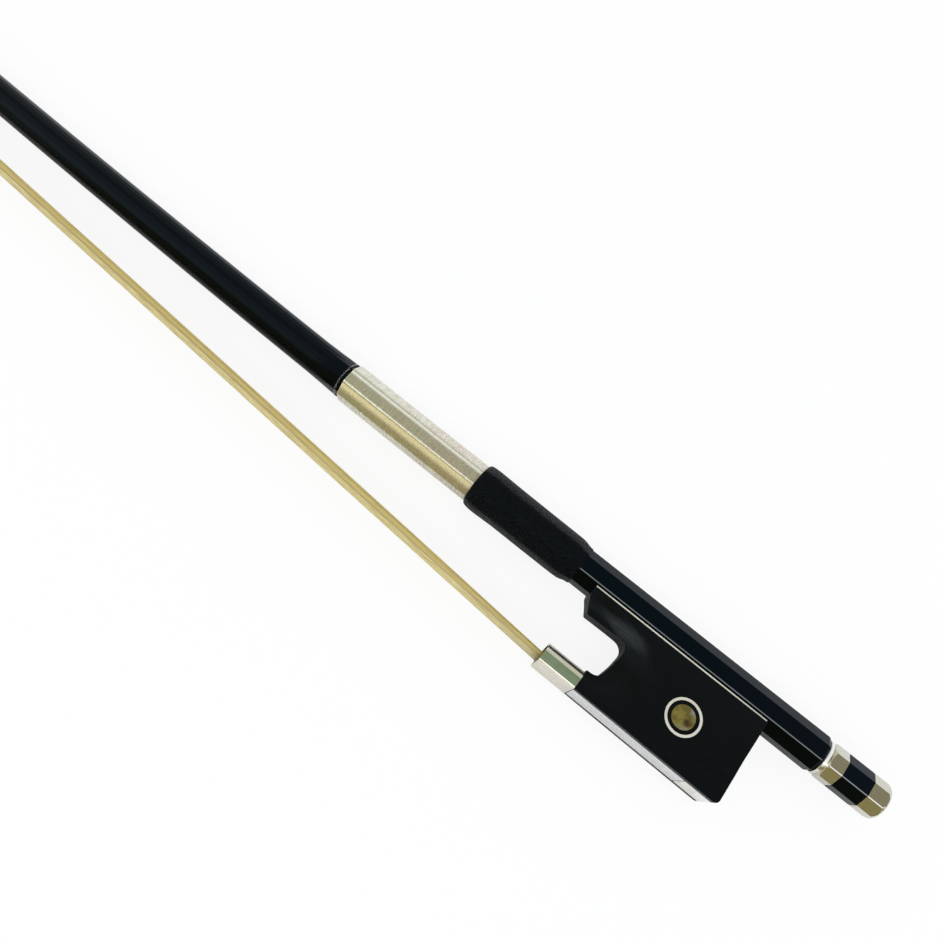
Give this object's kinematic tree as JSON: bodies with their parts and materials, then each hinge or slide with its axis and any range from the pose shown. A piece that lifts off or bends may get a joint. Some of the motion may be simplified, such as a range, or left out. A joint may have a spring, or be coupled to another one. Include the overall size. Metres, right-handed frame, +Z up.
{
  "type": "violin bow",
  "caption": "Full-size violin bow with an octagonal handle, cambered black stick, sliding ebony frog, ribbon of hair, wire and leather grip, and a screw button.",
  "frame": {"origin": "middle of the bow's bounding box at its lowest level, with the bow lying on its side", "axes": "+X along the handle of the stick towards the screw button, +Y from the hair to the stick, +Z up, square to the plane of stick and hair"},
  "size_m": [0.7458, 0.059, 0.0128],
  "materials": {
    "black_lacquer": "glossy black lacquer over the stick",
    "ebony": "satin black ebony",
    "nickel_silver": "polished nickel silver",
    "brass": "turned brass",
    "steel": "plain steel",
    "pearl": "polished white mother-of-pearl",
    "golden_pearl": "polished golden-brown pearl shell",
    "black_leather": "grained black leather",
    "horsehair": "pale straw-coloured horsehair",
    "bone": "off-white bone",
    "softwood": "bare softwood"
  },
  "bodies": {
    "stick": {"stick": "black_lacquer", "head_plate": "bone", "head_plate_liner": "ebony", "head_plug": "softwood", "hair_knot_head": "horsehair", "hair": "horsehair", "wire_lapping": "nickel_silver", "thumb_leather": "black_leather"},
    "frog": {"frog_body": "ebony", "underslide": "nickel_silver", "underslide_screw_front": "brass", "underslide_screw_rear": "brass", "eyelet": "brass", "ferrule": "nickel_silver", "ferrule_wedge": "softwood", "hair_knot_frog": "horsehair", "frog_plug": "softwood", "slide_base": "ebony", "pearl_slide": "pearl", "eye_ring_left": "nickel_silver", "eye_ring_right": "nickel_silver", "eye_pearl_left": "golden_pearl", "eye_pearl_right": "golden_pearl", "heel_plate": "nickel_silver", "heel_pin_lower": "nickel_silver", "heel_pin_upper": "nickel_silver"},
    "screw": {"adjusting_screw": "steel", "button_front_ring": "nickel_silver", "button_core": "ebony", "button_rear_ring": "nickel_silver"}
  },
  "joints": [
    {"name": "button_turn", "type": "hinge", "parent": "stick", "child": "screw", "pos_m": [0.35627, -0.00499, 0.0064], "axis": [-1, 0, 0], "range_deg": [0, 3600]},
    {"name": "frog_slide", "type": "slide", "parent": "stick", "child": "frog", "axis": [1, 0, 0], "range_m": [0, 0.007], "deforming": ["hair"]}
  ],
  "couplings": [
    {"joint": "button_turn", "follows": "frog_slide", "rad_per_m": 8976}
  ]
}
